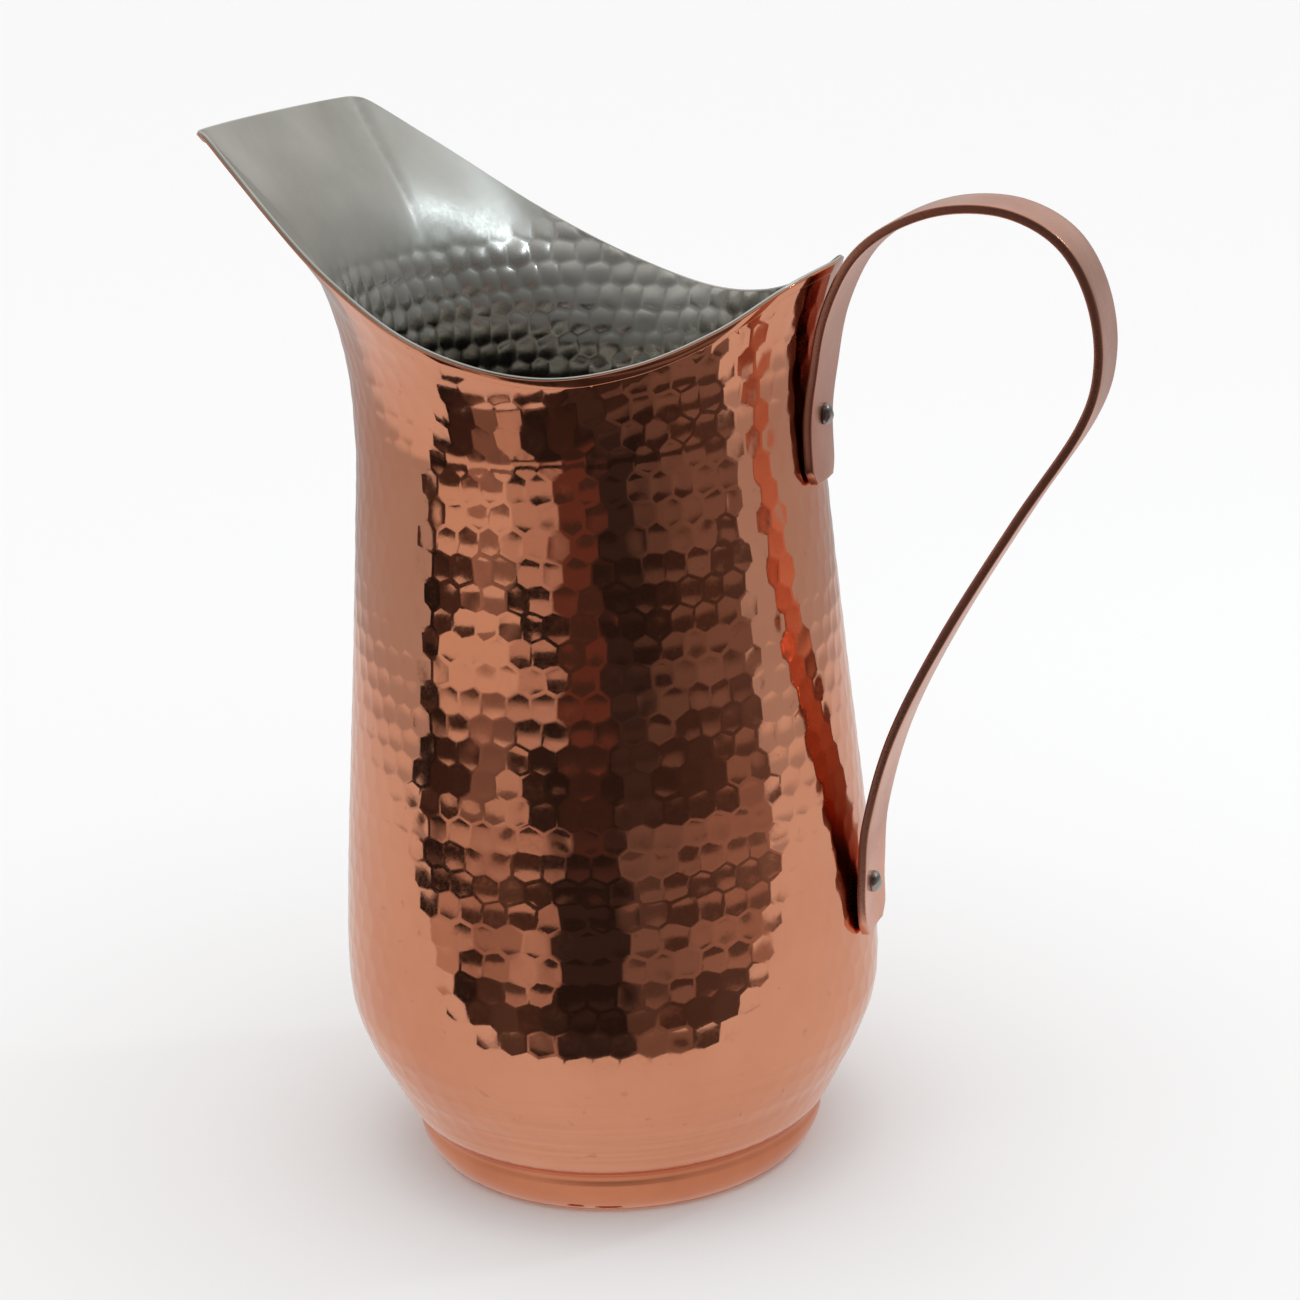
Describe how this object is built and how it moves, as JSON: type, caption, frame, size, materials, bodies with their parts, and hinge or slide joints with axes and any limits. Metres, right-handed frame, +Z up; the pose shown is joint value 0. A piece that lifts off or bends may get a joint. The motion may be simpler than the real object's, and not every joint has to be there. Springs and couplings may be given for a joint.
{
  "type": "water jug",
  "caption": "Tall hand-hammered copper water jug with a wide flat-lipped pouring spout, tinned inside, a foot ring and a riveted strap handle.",
  "frame": {"origin": "on the ground, in the middle of the overall length and width (the jug's upright axis is 23.8 mm towards the spout from it)", "axes": "+Z up, +X towards the handle, -X towards the pouring lip, +Y completes the right-handed set"},
  "size_m": [0.217, 0.1426, 0.2744],
  "materials": {
    "body_copper": "polished, hand hammered",
    "lining_tin": "satin tin, hammered, smooth on the spout",
    "foot_copper": "polished, spun",
    "strap_copper": "brushed, slightly worn",
    "rivet_steel": "dull, domed"
  },
  "bodies": {
    "root": {"body_shell": "body_copper", "inner_lining": "lining_tin", "foot_ring": "foot_copper", "handle_strap": "strap_copper", "rivet_upper": "rivet_steel", "rivet_lower": "rivet_steel", "rove_upper": "rivet_steel", "rove_lower": "rivet_steel"}
  },
  "joints": []
}
